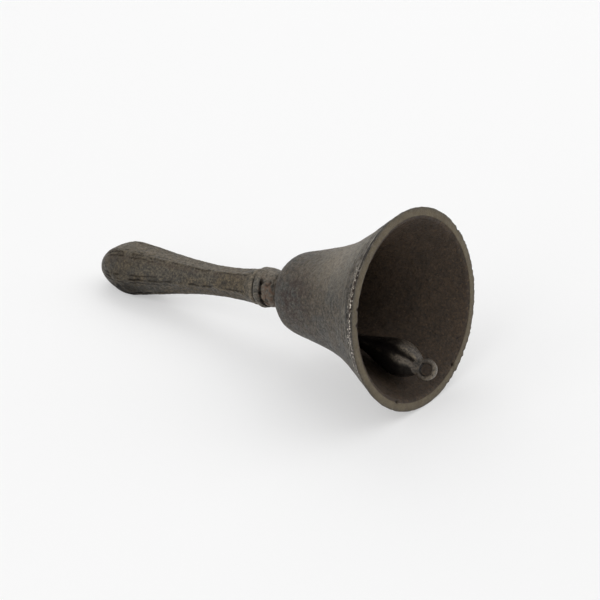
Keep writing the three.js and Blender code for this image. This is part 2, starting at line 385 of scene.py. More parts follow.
class Shader:
    """A node material under construction. Its coordinates are millimetres in some axes of the bell,
    taken from the object's own coordinates, so they stay on the piece as it moves."""

    def __init__(self, name, axes=bell_axes, origin=mouth_centre):
        self.material = bpy.data.materials.new(name)
        self.material.use_nodes = True
        self.tree = self.material.node_tree
        self.tree.nodes.clear()
        self.output = self.add("ShaderNodeOutputMaterial")
        self.surface = self.add("ShaderNodeBsdfPrincipled")
        self.link(self.surface.outputs[0], self.output.inputs["Surface"])
        mapping = self.add("ShaderNodeMapping")
        mapping.vector_type = "TEXTURE"
        mapping.inputs["Location"].default_value = origin
        mapping.inputs["Rotation"].default_value = Matrix(axes).to_euler()
        mapping.inputs["Scale"].default_value = (MM, MM, MM)
        own = self.add("ShaderNodeTexCoord").outputs["Object"]
        self.link(own, mapping.inputs["Vector"])
        self.place = mapping.outputs["Vector"]

    def add(self, kind):
        return self.tree.nodes.new(kind)

    def link(self, output, target):
        self.tree.links.new(output, target)

    def feed(self, value, target):
        """Links a socket, or sets a plain value."""
        if isinstance(value, bpy.types.NodeSocket):
            self.link(value, target)
        else:
            target.default_value = value

    def attribute(self, name):
        node = self.add("ShaderNodeAttribute")
        node.attribute_name = name
        return node.outputs["Fac"]

    def stretched(self, scale):
        """The coordinates with each axis multiplied by its own number."""
        node = self.add("ShaderNodeVectorMath")
        node.operation = "MULTIPLY"
        self.link(self.place, node.inputs[0])
        node.inputs[1].default_value = scale
        return node.outputs["Vector"]

    def noise(self, size, detail=4.0, roughness=0.6, twist=0.0, place=None):
        """Noise from 0 to 1 with features about size millimetres across."""
        node = self.add("ShaderNodeTexNoise")
        self.link(place or self.place, node.inputs["Vector"])
        settings = {"Scale": 1 / size, "Detail": detail, "Roughness": roughness, "Distortion": twist}
        for key, number in settings.items():
            node.inputs[key].default_value = number
        return node.outputs["Fac"]

    def cells(self, size):
        """The distance to the nearest of scattered points about size millimetres apart, over size."""
        node = self.add("ShaderNodeTexVoronoi")
        self.link(self.place, node.inputs["Vector"])
        node.inputs["Scale"].default_value = 1 / size
        return node.outputs["Distance"]

    def span(self, value, low, high, to_low=0.0, to_high=1.0):
        """A value moved smoothly from low..high to to_low..to_high."""
        node = self.add("ShaderNodeMapRange")
        node.interpolation_type = "SMOOTHSTEP"
        self.feed(value, node.inputs["Value"])
        ends = {"From Min": low, "From Max": high, "To Min": to_low, "To Max": to_high}
        for key, number in ends.items():
            node.inputs[key].default_value = number
        return node.outputs["Result"]

    def math(self, operation, a, b=0.0):
        node = self.add("ShaderNodeMath")
        node.operation = operation
        self.feed(a, node.inputs[0])
        self.feed(b, node.inputs[1])
        return node.outputs[0]

    def mix(self, share, a, b, blend="MIX"):
        """Colour a with share of colour b over it."""
        node = self.add("ShaderNodeMix")
        node.data_type = "RGBA"
        node.blend_type = blend
        node.clamp_factor = True
        self.feed(share, node.inputs["Factor"])
        self.feed(a, node.inputs[6])
        self.feed(b, node.inputs[7])
        return node.outputs[2]

    def over(self, base, mask, share, code):
        """A colour laid over base by mask times share."""
        return self.mix(self.math("MULTIPLY", mask, share), base, colour(code))

    def bump(self, layers):
        """Bumps from (height socket, millimetres) layers."""
        normal = None
        for height, depth in layers:
            node = self.add("ShaderNodeBump")
            node.inputs["Strength"].default_value = 1.0
            node.inputs["Distance"].default_value = depth * MM
            self.link(height, node.inputs["Height"])
            if normal is not None:
                self.link(normal, node.inputs["Normal"])
            normal = node.outputs["Normal"]
        self.link(normal, self.surface.inputs["Normal"])

    def finish(self, base, roughness, metallic=0.0, specular=0.5):
        self.feed(base, self.surface.inputs["Base Color"])
        self.feed(roughness, self.surface.inputs["Roughness"])
        self.feed(metallic, self.surface.inputs["Metallic"])
        self.feed(specular, self.surface.inputs["Specular IOR Level"])
        return self.material


def patina(s, warm, cool, dark, light):
    """The mottled skin of old cast iron: warm and cool patches, fine grain, dark and light specks."""
    patches = s.span(s.noise(11.0, 3, 0.55, 0.4), 0.40, 0.62)
    base = s.mix(patches, colour(warm), colour(cool))
    base = s.over(base, s.span(s.noise(2.6, 5, 0.7), 0.35, 0.68), 0.30, light)
    base = s.over(base, s.span(s.noise(4.5, 6, 0.72, 0.5), 0.52, 0.66), 0.55, dark)
    base = s.over(base, s.span(s.noise(0.75, 4, 0.7), 0.54, 0.68), 0.8, dark)
    base = s.over(base, s.span(s.noise(0.5, 4, 0.8), 0.52, 0.68), 0.6, light)
    mottle = s.span(s.noise(1.15, 4, 0.75), 0.38, 0.62, 0.45, 1.52)
    return s.mix(1.0, base, mottle, "MULTIPLY")


def outer_skin(s):
    """The cup's outside: pale on top as a painted sheen of light from above, brown on the shoulder, streaked round
    the rim at the flare.
    """
    skin = patina(s, "443d33", "3b3b38", "181411", "746a5b")
    # Painted sheen: the cup's upper side is made paler, where light from above and grazing reflections fall.
    pale = s.span(s.noise(0.9, 4, 0.75), 0.36, 0.60, 0.15, 0.75)
    skin = s.over(skin, s.attribute("top"), pale, "8f8677")
    brown = s.span(s.noise(2.6, 6, 0.8, 0.6), 0.44, 0.54)
    skin = s.over(skin, s.math("MULTIPLY", brown, s.attribute("shoulder")), 0.95, "2f2019")
    streaks = s.noise(1.6, 3, 0.6, 0, s.stretched((1.0, 0.09, 0.09)))
    light_lines = s.math("MULTIPLY", s.span(streaks, 0.50, 0.58), s.attribute("flare"))
    skin = s.over(skin, light_lines, 0.85, "a39b8b")
    scores = s.noise(1.3, 3, 0.6, 0, s.stretched((1.1, 0.07, 0.07)))
    return s.over(skin, s.span(scores, 0.50, 0.57), s.attribute("flare"), "1b1714")


def inner_wall(s):
    clouds = s.span(s.noise(6.0, 5, 0.65, 0.5), 0.38, 0.64)
    wall = s.mix(clouds, colour("392d21"), colour("443628"))
    wall = s.over(wall, s.span(s.noise(0.9, 4, 0.7), 0.52, 0.70), 0.65, "67543f")
    wall = s.over(wall, s.span(s.noise(1.4, 4, 0.7), 0.54, 0.66), 0.6, "15100c")
    mottle = s.span(s.noise(1.0, 4, 0.75), 0.38, 0.62, 0.74, 1.26)
    return s.mix(1.0, wall, mottle, "MULTIPLY")


def ground_rim(s):
    clouds = s.span(s.noise(5.0, 5, 0.65), 0.38, 0.66)
    rim = s.mix(clouds, colour("615643"), colour("6e634d"))
    rim = s.over(rim, s.span(s.noise(0.6, 3, 0.7), 0.55, 0.72), 0.5, "3b352b")
    return s.over(rim, s.span(s.noise(0.35, 2, 0.6), 0.60, 0.72), 0.4, "8d8677")


def shell_material():
    """Outside, rim and inside of the cup, told apart by the mesh's attributes."""
    s = Shader("cup_iron")
    base = s.mix(s.attribute("inside"), outer_skin(s), inner_wall(s))
    base = s.mix(s.attribute("rim"), base, ground_rim(s))
    # Dirt in the grooves, chips and pits, and a painted shadow on the inner wall under the clapper.
    base = s.mix(s.attribute("dirt_and_shade"), base, colour("14110e"))
    base = s.over(base, s.attribute("stain"), 0.85, "33251c")
    specks = s.span(s.cells(0.92), 0.42, 0.30)
    # Bright specks: metal worn on the ridges by the lip, painted near white as glints.
    wear_and_highlight = s.math("MULTIPLY", s.attribute("wear_and_highlight"), specks)
    base = s.mix(wear_and_highlight, base, colour("f2e9d8"))
    roughness = s.span(s.noise(1.8, 4, 0.7), 0.3, 0.7, 0.42, 0.68)
    worn_roughness = (0.30, 0.30, 0.30, 1)
    roughness = s.mix(wear_and_highlight, roughness, worn_roughness)
    coarse, middle, fine = s.noise(3.0, 5, 0.7), s.noise(0.95, 6, 0.72), s.noise(0.45, 4, 0.75)
    s.bump([(coarse, 0.38), (middle, 0.58), (fine, 0.12)])
    # The export drops a linked specular level, so exported dirt and painted shade are glossier than rendered ones.
    return s.finish(base, roughness, specular=s.span(s.attribute("dirt_and_shade"), 0, 1, 0.40, 0.08))


def iron_material(name, codes, stain_code="35261a", roughness=(0.40, 0.66), place=()):
    """Cast iron with dirt in its creases, painted shade where the mesh asks for it, and bright metal where it is
    worn or where a highlight is painted. The codes are its warm, cool, dark and light colours. place holds the
    shader's axes and origin, if not the bell's."""
    s = Shader(name, *place)
    base = patina(s, *codes)
    base = s.over(base, s.attribute("stain"), s.span(s.noise(2.4, 5, 0.7), 0.42, 0.62), stain_code)
    # Dirt, and painted shade from the mesh, darken the iron here.
    base = s.mix(s.attribute("dirt_and_shade"), base, colour("14110f"))
    sparkle = s.span(s.noise(0.8, 3, 0.7), 0.40, 0.58)
    # Worn metal, and painted highlights from the mesh, lighten the iron here.
    wear_and_highlight = s.math("MULTIPLY", s.attribute("wear_and_highlight"), sparkle)
    base = s.mix(wear_and_highlight, base, colour("8a7f6e"))
    rough = s.span(s.noise(1.8, 4, 0.7), 0.3, 0.7, *roughness)
    s.bump([(s.noise(3.2, 5, 0.7), 0.32), (s.noise(0.9, 6, 0.72), 0.30)])
    # The export drops this linked specular level too.
    dull = s.span(s.attribute("dirt_and_shade"), 0, 1, 0.40, 0.05)
    return s.finish(base, rough, metallic=s.math("MULTIPLY", wear_and_highlight, 0.7), specular=dull)


def steel_material(name, base_code, light_code):
    """Old drawn steel with rust in its hollows."""
    s = Shader(name)
    base = s.mix(s.span(s.noise(3.0, 5, 0.7), 0.35, 0.65), colour(base_code), colour(light_code))
    rust = s.span(s.noise(1.6, 6, 0.75, 0.6), 0.50, 0.64)
    base = s.over(base, rust, 0.8, "3a2519")
    rough = s.span(s.noise(1.2, 4, 0.7), 0.3, 0.7, 0.32, 0.62)
    s.bump([(s.noise(1.4, 5, 0.7), 0.10), (s.noise(0.35, 4, 0.7), 0.04)])
    return s.finish(base, rough, metallic=s.span(rust, 0, 1, 0.85, 0.1))


# ---- The cup ----

rng = np.random.default_rng(17)


def cup_outside():
    flare = bezier((0, MOUTH_RADIUS), (26, 23), (25, 22.9), (50, 17.4), 120)
    crown = bezier((50, 17.4), (55, 16.3), (CROWN_DEPTH - 0.2, 15.2), (CROWN_DEPTH, 8), 60)
    return chain(flare, crown)


def cup_inside(outside):
    """The outside moved in by the wall, from the mouth to the flat under the crown."""
    along = np.gradient(outside, axis=0)
    along /= np.linalg.norm(along, axis=1)[:, None]
    wall = CUP_WALL + (LIP_WALL - CUP_WALL) * np.exp(-outside[:, 0] / 8)
    inside = outside + np.stack([along[:, 1], -along[:, 0]], axis=1) * wall[:, None]
    floor_depth = CROWN_DEPTH - CROWN_WALL
    kept = inside[(inside[:, 0] > 0.4) & (inside[:, 0] < floor_depth - 1)]
    kept = kept[np.r_[True, np.diff(np.maximum.accumulate(kept[:, 0])) > 0]]
    return np.vstack([[(0, MOUTH_INSIDE)], kept, [(floor_depth, 7)]])


def shell_outline():
    """The closed outline of the cup's wall, with its points closest together at the lip."""
    outside = cup_outside()
    inside = cup_inside(outside)
    floor_depth = CROWN_DEPTH - CROWN_WALL
    lip_zone = outside[outside[:, 0] <= 7]
    body_zone = outside[outside[:, 0] >= lip_zone[-1][0]]
    edge = 0.35
    lip_corner = (edge, MOUTH_RADIUS - edge * 0.4)
    flat_start = (0, MOUTH_RADIUS - 0.7)
    flat_end = (0, MOUTH_INSIDE + 0.35)
    inner_corner = (0.3, MOUTH_INSIDE - 0.12)
    stretches = [
        evenly([(CROWN_DEPTH, BORE), (CROWN_DEPTH, 8)], 0.9),
        evenly(body_zone[::-1], 0.85),
        evenly(np.vstack([lip_zone[::-1][:-1], [lip_corner]]), 0.36),
        evenly([lip_corner, (0.08, MOUTH_RADIUS - 0.3), flat_start], 0.25),
        evenly([flat_start, flat_end], 0.4),
        evenly([flat_end, inner_corner], 0.25),
        evenly(np.vstack([[inner_corner], inside[1:]]), 0.88),
        evenly([(floor_depth, 7), (floor_depth, BORE)], 0.9),
        evenly([(floor_depth, BORE), (CROWN_DEPTH, BORE)], 1.3),
    ]
    return chain(*stretches)


# Places round the bell's axis, in degrees: the side that the photograph shows, the upper side of the
# flare, the middle of the chipped stretch of the lip, and the wall under the clapper.
SHOWN_SIDE, UPPER_FLARE, CHIPPED_SIDE, UNDER_CLAPPER = 165, 125, -12, 225
CUP_SIDES = 460


def turn_from(surface, degrees):
    """Each vertex's angle from a place round the axis, in radians."""
    return angle_gap(surface.angle, math.radians(degrees))


def round_lip(surface, degrees, across):
    """How near each vertex is to one place on the lip, along the mouth's circle."""
    return bump_at(turn_from(surface, degrees) * MOUTH_RADIUS, 0, across)


def lip_chips(surface):
    """How deep the lip's outer edge is chipped: often on the chipped side, and faintly elsewhere."""
    chips = np.zeros(len(surface.angle))
    for _ in range(80):
        at, across, deep = rng.uniform(-72, 46), rng.uniform(0.28, 0.75), rng.uniform(0.10, 0.42)
        chips += deep * round_lip(surface, at, across)
    for _ in range(24):
        deep, at, across = rng.uniform(0.04, 0.14), rng.uniform(50, 285), rng.uniform(0.5, 1.1)
        chips += deep * round_lip(surface, at, across)
    for at in (-48, -21, 31):
        chips += 0.5 * round_lip(surface, at, 0.6)
    return chips


def wall_warts(spots):
    """The height of small cast bumps on the inner wall."""
    outside = cup_outside()
    warts = np.zeros(len(spots))
    for _ in range(110):
        where = np.array([-rng.uniform(3, 50), 0, 0])
        turn = rng.uniform(0, 2 * math.pi)
        wall = np.interp(-where[0], outside[:, 0], outside[:, 1]) - CUP_WALL * 1.25
        where[1:] = wall * math.cos(turn), wall * math.sin(turn)
        size = rng.uniform(0.5, 1.3)
        warts += rng.uniform(0.15, 0.4) * np.exp(-(np.linalg.norm(spots - where, axis=1) / size) ** 2)
    return warts


def bell_shell():
    """The cup, with cast relief, a chipped lip, lines beside the rim and bumps on its inner wall."""
    turns = packed_turns(CUP_SIDES, [(CHIPPED_SIDE, 58), (SHOWN_SIDE, 38)])
    surface = Revolved(shell_outline(), CUP_SIDES, turns)
    spots = surface.spots()
    depth, radius = surface.depth, surface.radius
    outward = surface.out_radius > 0
    inside = (~outward) & (depth > 0.05) & (radius < MOUTH_INSIDE + 0.2)
    rim = (depth < 0.1) & (radius > MOUTH_INSIDE + 0.2)
    outer_edge = np.exp(-(np.hypot(depth - 0.2, radius - MOUTH_RADIUS + 0.3) / 0.9) ** 2)
    inner_edge = np.exp(-(np.hypot(depth - 0.1, radius - MOUTH_RADIUS + LIP_WALL) / 0.8) ** 2)
    outside = outward & ~rim
    ridge = bump_at(depth, 2.0, 0.6) * outside
    broken = np.clip(0.6 + 0.9 * grain(spots, 3.5, 3, 2), 0, 1)
    upper_side = smoothstep(0.6, 0.95, np.cos(turn_from(surface, UPPER_FLARE)))
    rings = sum(bump_at(depth, at, 0.5) for at in (4.6, 6.2, 7.9, 9.8)) * outside
    uneven = grain(spots, 6.0, 3, 1)
    lumps = grain(spots, 1.7, 3, 3)
    push = np.where(outside, -0.04 + 0.07 * uneven + 0.07 * lumps, 0)
    push = np.where(inside, -0.10 + 0.10 * uneven + 0.13 * lumps, push)
    push = np.where(rim, -0.03 + 0.02 * uneven, push)
    push += 0.10 * ridge * broken + 0.13 * rings * broken * (1 + 0.8 * upper_side)
    pits = smoothstep(0.22, 0.60, grain(spots, 2.4, 3, 4))
    push -= np.where(outside | inside, 0.10, 0.02) * pits
    inner_chips = sum(round_lip(surface, at, 0.8) for at in (157, 166.4, 238, 300))
    push -= lip_chips(surface) * outer_edge + 0.8 * inner_chips * inner_edge
    push += 0.5 * round_lip(surface, 27, 1.1) * inner_edge
    push += np.where(inside, wall_warts(spots), 0)
    hidden = (radius < BORE + 0.1) | ((depth > CROWN_DEPTH - 0.1) & (radius < 7))
    surface.push(np.where(hidden, 0, push))
    surface.radius = np.minimum(surface.radius, MOUTH_RADIUS - 0.005)
    surface.depth = np.clip(surface.depth, 0, CROWN_DEPTH)
    side = smoothstep(0.75, 1.0, np.cos(turn_from(surface, SHOWN_SIDE)))
    # Worn ridges by the lip, mostly on the side shown, where near-white glints are painted.
    wear_and_highlight = np.clip(1.7 * bump_at(depth, 1.9, 0.75) + 1.0 * bump_at(depth, 4.1, 0.5), 0, 1)
    wear_and_highlight = wear_and_highlight * outside * (0.04 + 0.96 * side) * smoothstep(-0.50, 0.0, grain(spots, 3.2, 3, 5))
    groove = bump_at(depth, 1.4, 1.0) * outside
    dirt_and_shade = inner_chips * inner_edge + groove * (1.0 * upper_side + 0.35 * side)
    dirt_and_shade += 0.5 * bump_at(depth, 4.3, 0.5) * outside * side * broken
    dirt_and_shade += 0.5 * pits * outside * bump_at(depth, 5, 5)
    # Painted shadow: the inner wall is darkened under and beside the clapper, where the clapper shades it.
    from_clapper_shadow = np.hypot(turn_from(surface, UNDER_CLAPPER) * 22, depth - 20)
    dirt_and_shade += 0.75 * inside * np.exp(-((from_clapper_shadow / 11) ** 2))
    scored = sum(bump_at(depth, at, 0.45) for at in (4.9, 6.6, 8.6)) * outside
    dirt_and_shade += 0.75 * scored * upper_side * broken
    from_shoulder = np.hypot(turn_from(surface, SHOWN_SIDE) * 16, depth - 46)
    attributes = {
        "inside": inside,
        # The cup's upper side, where a sheen of light from above is painted.
        "top": smoothstep(0.35, 0.95, np.sin(surface.angle)) * outside * bump_at(depth, 24, 17),
        "rim": rim * (1 - 0.6 * outer_edge),
        "wear_and_highlight": wear_and_highlight,
        "dirt_and_shade": np.clip(dirt_and_shade, 0, 1),
        "flare": outside * smoothstep(14, 3, depth) * (0.4 + 0.6 * upper_side),
        "shoulder": outside * np.exp(-((from_shoulder / 12) ** 2)),
        "stain": (bump_at(depth, 2.4, 1.2) * side + 0.3 * groove) * outside,
    }
    mesh = surface.mesh("cup", attributes)
    add_piece("cup", mesh, shell_material(), "bell", "bell_shell")


# ---- Collar and handle ----


def neck_collar():
    """A low wide pitted bead, a groove and a tall round bead. On top a smooth lobe of metal fills
    the groove and runs on to the handle."""
    groove_at = 71.4
    outline = chain(
        evenly([(COLLAR_START, BORE), (COLLAR_START, 6.2)], 0.4),
        evenly([(COLLAR_START, 6.2), (65.4, 6.2)], 0.2),
        evenly(bezier((65.4, 6.2), (66.8, 7.8), (70.9, 7.7), (groove_at, 6.9)), 0.18),
        evenly(bezier((groove_at, 6.9), (71.7, 8.6), (75.1, 8.5), (COLLAR_END, 6.9)), 0.18),
        evenly([(COLLAR_END, 6.9), (COLLAR_END, BORE)], 0.4),
        evenly([(COLLAR_END, BORE), (COLLAR_START, BORE)], 1.0),
    )
    surface = Revolved(outline, 220)
    exposed = smoothstep(6.1, 6.6, surface.radius)
    lobe_at, lobe_half = 75, 54
    lobe = np.exp(-((turn_from(surface, lobe_at) / math.radians(lobe_half)) ** 6))
    filled = np.maximum(surface.radius, 7.2 + 1.1 * smoothstep(64.5, 72.5, surface.depth))
    over_groove = smoothstep(64.5, 66.5, surface.depth) * smoothstep(COLLAR_END, 74.8, surface.depth)
    surface.radius = surface.radius + exposed * lobe * over_groove * (filled - surface.radius)
    spots = surface.spots()
    depth = surface.depth
    bead = smoothstep(groove_at, 72.4, depth)
    rough = 1 - np.maximum(0.6 * bead, 0.85 * lobe)
    lumps = grain(spots, 2.6, 3, 11)
    fine = grain(spots, 1.0, 3, 12)
    pits = smoothstep(0.15, 0.5, grain(spots, 1.9, 3, 13))
    surface.push(exposed * (-0.06 + rough * (0.14 * lumps + 0.07 * fine - 0.26 * pits)))
    groove = bump_at(depth, groove_at, 0.5) * (1 - lobe)
    crevices = bump_at(depth, 63.2, 2.2) + bump_at(depth, COLLAR_END, 0.4)
    edge = bump_at(depth, 70.4, 0.6) + bump_at(depth, 73.3, 0.8)
    creases = (0.8 * groove + 0.95 * crevices) * (1 - 0.8 * lobe)
    attributes = {
        "dirt_and_shade": np.clip(creases + 0.5 * rough * pits, 0, 1),
        "wear_and_highlight": np.clip(0.5 * edge * smoothstep(-0.2, 0.5, lumps) + 0.3 * lobe, 0, 1) * exposed,
        "stain": np.clip(1.2 - 1.2 * bead, 0, 1) * (1 - lobe),
    }
    mesh = surface.mesh("collar", attributes)
    material = iron_material("collar_iron", ("4b453c", "42423f", "1a1511", "857a69"), "5e4736")
    add_piece("collar", mesh, material, "bell", "neck_collar")


COLLAR_SEAT = 6.9
CORNER_SHARE = 0.28
KNOB_DEPTH, KNOB_APOTHEM = 142.5, 10.1


def hexagon_reach(angle, rounding):
    """How far a rounded hexagon reaches at an angle, for an apothem of 1. One facet faces down."""
    third = math.pi / 3
    turns = (angle + math.pi / 2) / third
    from_facet = np.abs(turns - np.round(turns)) * third
    flat_ends = np.arctan((1 - rounding) * math.tan(math.pi / 6))
    flat = 1 / np.cos(from_facet)
    centre = (1 - rounding) / math.cos(math.pi / 6)
    from_corner = math.pi / 6 - from_facet
    under = np.maximum(rounding**2 - (centre * np.sin(from_corner)) ** 2, 0)
    corner = centre * np.cos(from_corner) + np.sqrt(under)
    return np.where(from_facet <= flat_ends, flat, corner)


def handle_outline():
    """The apothem along the grip and over the knob's dome, from the collar's end."""
    neck = [(HANDLE_START, COLLAR_SEAT), (77, 7.35), (80, 6.6), (86, 5.85)]
    swell = [(100, 5.7), (115, 6.8), (130, 8.65), (KNOB_DEPTH, KNOB_APOTHEM)]
    grip = spline(neck + swell, 30)
    dome_handles = (152.6, KNOB_APOTHEM), (HANDLE_END, 5.9)
    return chain(grip, bezier(grip[-1], *dome_handles, (HANDLE_END, 0), 80))


def handle():
    """A hexagonal grip that swells to a knob, round where it meets the collar and at its end."""
    hole_end = BOLT_END + 0.6
    bored = [(hole_end, 0), (hole_end, BORE), (HANDLE_START, BORE), (HANDLE_START, COLLAR_SEAT)]
    outline = chain(through(bored, (0.9, 1.5, 0.6)), evenly(handle_outline(), 0.38))
    surface = Revolved(outline, 300)
    hole = (surface.radius < BORE + 0.01) & (surface.depth < hole_end + 0.01)
    round_neck = 1 - smoothstep(77, 83, surface.depth)
    round_knob = smoothstep(146, 158, surface.depth)
    rounding = CORNER_SHARE + (1 - CORNER_SHARE) * np.maximum(round_neck, round_knob)
    apothem = surface.radius
    surface.radius = apothem * np.where(hole, 1, hexagon_reach(surface.angle, rounding))
    spots = surface.spots()
    depth = surface.depth
    third = math.pi / 3
    turns = (surface.angle + math.pi / 2) / third - 0.5
    from_edge = (turns - np.round(turns)) * third * apothem
    wander = 0.45 * grain(spots * np.array([1, 0.2, 0.2]), 7, 3, 21)
    present = (1 - round_neck) * smoothstep(HANDLE_END - 2, HANDLE_END - 9, depth)
    line = np.exp(-(((from_edge + wander) / 0.5) ** 2))
    beside = np.abs(from_edge) - 1.4 + 1.3 * wander
    second = np.exp(-((beside / 0.35) ** 2)) * smoothstep(112, 130, depth)
    edge = np.clip(line + 0.8 * second, 0, 1) * present
    broken = smoothstep(-0.55, 0.10, grain(spots, 5.0, 3, 22))
    uneven = grain(spots, 8.0, 3, 23)
    lumps = grain(spots, 1.6, 3, 24)
    pits = smoothstep(0.20, 0.55, grain(spots, 2.2, 3, 25))
    shown = smoothstep(BORE, BORE + 1, surface.radius) + smoothstep(hole_end, hole_end + 3, depth)
    shown = np.where(hole, 0, np.clip(shown, 0, 1))
    relief = 0.08 * uneven + 0.045 * lumps - 0.07 * pits - 0.12 * edge * broken
    surface.push(shown * (relief - 0.07))
    # Painted highlight: the grip's upper facets are made lighter, as light from above makes them.
    top_facet_highlight = smoothstep(0.55, 0.95, np.sin(surface.angle)) * present
    lip = bump_at(depth, 76.9, 0.8)
    blotches = smoothstep(0.0, 0.5, grain(spots, 7, 3, 26)) * smoothstep(138, 152, depth)
    # Painted shade: the grip's lower side is darkened, more towards the knob.
    under = smoothstep(0.0, -0.5, np.sin(surface.angle)) * (0.5 + 0.5 * smoothstep(118, 146, depth))
    below_line = bump_at(np.degrees(turn_from(surface, 130)), 0, 9) * present
    # Dirt in the edge lines and at the collar's crevice, blotches on the knob, painted shade on the lower side,
    # and darker towards the knob.
    dirt_and_shade = 0.75 * edge * broken + 0.8 * bump_at(depth, HANDLE_START, 0.3)
    dirt_and_shade = dirt_and_shade + 0.4 * blotches + 0.50 * under + 0.25 * smoothstep(122, 142, depth)
    attributes = {
        "dirt_and_shade": np.clip(dirt_and_shade, 0, 1),
        "wear_and_highlight": np.clip(0.75 * lip + 0.3 * top_facet_highlight, 0, 1),
        "stain": 0.8 * below_line,
    }
    mesh = surface.mesh("grip", attributes)
    material = iron_material("handle_iron", ("483e2e", "3f3b34", "1b1712", "70644e"))
    add_piece("grip", mesh, material, "bell", "handle")


# ---- Bolt, washer, nut and hook ----


def add_steel(name, mesh, body, node, slot, dark_code, light_code):
    add_piece(name, mesh, steel_material(slot, dark_code, light_code), body, node)


def row_direction(direction):
    """A direction of the row frame in the bell's axes."""
    return np.array(direction) @ np.array(bell_axes)


joints = {joint["name"]: joint for joint in frame["joints"]}
staple_centre = in_bell_axes(joints["hook_swing"]["pos_m"])
hook_axis = row_direction(joints["hook_swing"]["axis"])
clapper_pivot = in_bell_axes(joints["clapper_swing"]["pos_m"])
clapper_axis = row_direction(joints["clapper_swing"]["axis"])

STAPLE_RING, STAPLE_WIRE = 3.6, 1.3
HOOK_LOOP, HOOK_WIRE, HOOK_SPAN = 3.4, 1.1, 8.0
HOOK_TILT = math.radians(67)
PIECE_GAP = 0.3


def turned_about(vector, axis, angle):
    return np.array(Matrix.Rotation(angle, 3, Vector(axis)) @ Vector(vector))


hook_line = turned_about((1, 0, 0), hook_axis, -HOOK_TILT)
hook_normal = np.cross(hook_line, hook_axis)
upper_loop = staple_centre + hook_line * (STAPLE_RING + HOOK_LOOP - STAPLE_WIRE - HOOK_WIRE - PIECE_GAP)
lower_loop = upper_loop + hook_line * HOOK_SPAN


def staple_bolt():
    """A threaded shank that ends in a closed eye."""
    shank_start = -staple_centre[0] + STAPLE_RING
    thread_start = NUT_START - 0.8
    shank = evenly([(shank_start - 0.4, 2.38), (BOLT_END - 0.7, 2.38), (BOLT_END, 1.7)], 0.11)
    outline = np.vstack([[(shank_start - 0.4, 0)], shank, [(BOLT_END, 0)]])
    surface = Revolved(outline, 64)
    pitch, thread_deep = 0.8, 0.42
    turns = surface.depth / pitch + surface.angle / (2 * math.pi)
    tooth = np.abs(turns - np.round(turns)) * 2
    threaded = smoothstep(thread_start, thread_start + 0.5, surface.depth)
    surface.radius = surface.radius - threaded * thread_deep * (1 - tooth)
    parts = [(surface.closed_points(), surface.faces())]
    ring = circle(staple_centre, hook_axis, STAPLE_RING, 90)
    parts.append(swept(ring, [STAPLE_WIRE] * len(ring), 24, closed=True))
    points, normals, faces = fused(parts, 0.14, 2)
    points += normals * (-0.02 + 0.03 * grain(points, 1.4, 2, 31))[:, None]
    mesh = mesh_of("staple", to_row_frame(points), faces)
    add_steel("staple", mesh, "bell", "staple_bolt", "bolt_steel", "4c473f", "6d665b")


def bevelled_ring(start, end, edge_radius, radius, bevel, spacings):
    """The closed outline of a ring round the bolt. Its outer corners are cut off between edge_radius
    on its flat faces and radius on its side."""
    corners = [(end, BORE), (end, edge_radius), (end - bevel, radius)]
    corners += [(start + bevel, radius), (start, edge_radius), (start, BORE), (end, BORE)]
    return through(corners, spacings)


def crown_washer():
    edge, inset = 0.22, 0.05
    radii = (WASHER_RADIUS - edge, WASHER_RADIUS - inset)
    outline = bevelled_ring(WASHER_START, WASHER_END, *radii, edge, (0.2, 0.1, 0.15, 0.1, 0.2, 0.3))
    surface = Revolved(outline, 160)
    surface.push(-0.02 + 0.025 * grain(surface.spots(), 1.3, 3, 41))
    mesh = surface.mesh("washer")
    add_steel("washer", mesh, "bell", "crown_washer", "washer_steel", "47423a", "635c51")


def crown_nut():
    """A hexagon nut with chamfered corners."""
    corner = reach("crown_nut")
    apothem, chamfer = 4.0, 0.35
    radii = (corner - 2 * chamfer, corner)
    outline = bevelled_ring(NUT_START, NUT_END, *radii, chamfer, (0.12, 0.1, 0.12, 0.1, 0.12, 0.1))
    surface = Revolved(outline, 180)
    flats = apothem * hexagon_reach(surface.angle, 0.06)
    surface.radius = np.minimum(surface.radius, flats)
    surface.push(-0.02 + 0.025 * grain(surface.spots(), 1.5, 3, 42))
    mesh = surface.mesh("nut")
    add_steel("nut", mesh, "bell", "crown_nut", "nut_steel", "4b453d", "6a6358")


def s_hook():
    """An S of round wire with a quarter twist: two nearly closed loops, square to each other."""
    leave = math.radians(50)
    turn = math.radians(280)
    steps, sides = 30, 24

    def loop(centre, sideways, start, count):
        return [
            centre
            + hook_line * HOOK_LOOP * math.cos(start + turn * i / steps)
            + sideways * HOOK_LOOP * math.sin(start + turn * i / steps)
            for i in count
        ]

    knots = loop(upper_loop, hook_axis, leave, range(steps, -1, -1))
    knots += loop(lower_loop, hook_normal, leave + math.pi, range(steps + 1))
    path = evenly(spline(knots, 6), 0.25)
    path, radii = round_ends(path[5:-5], HOOK_WIRE - 0.02)
    points, faces = swept(path, radii, sides)
    wobble = 0.04 * grain(points, 2.2, 3, 51)
    centres = np.repeat(path, sides, axis=0)
    points = centres + (points - centres) * (0.98 + wobble)[:, None]
    mesh = mesh_of("hook", to_row_frame(points), faces)
    add_steel("hook", mesh, "hook", "s_hook", "hook_steel", "453f37", "665f54")


# ---- Clapper ----

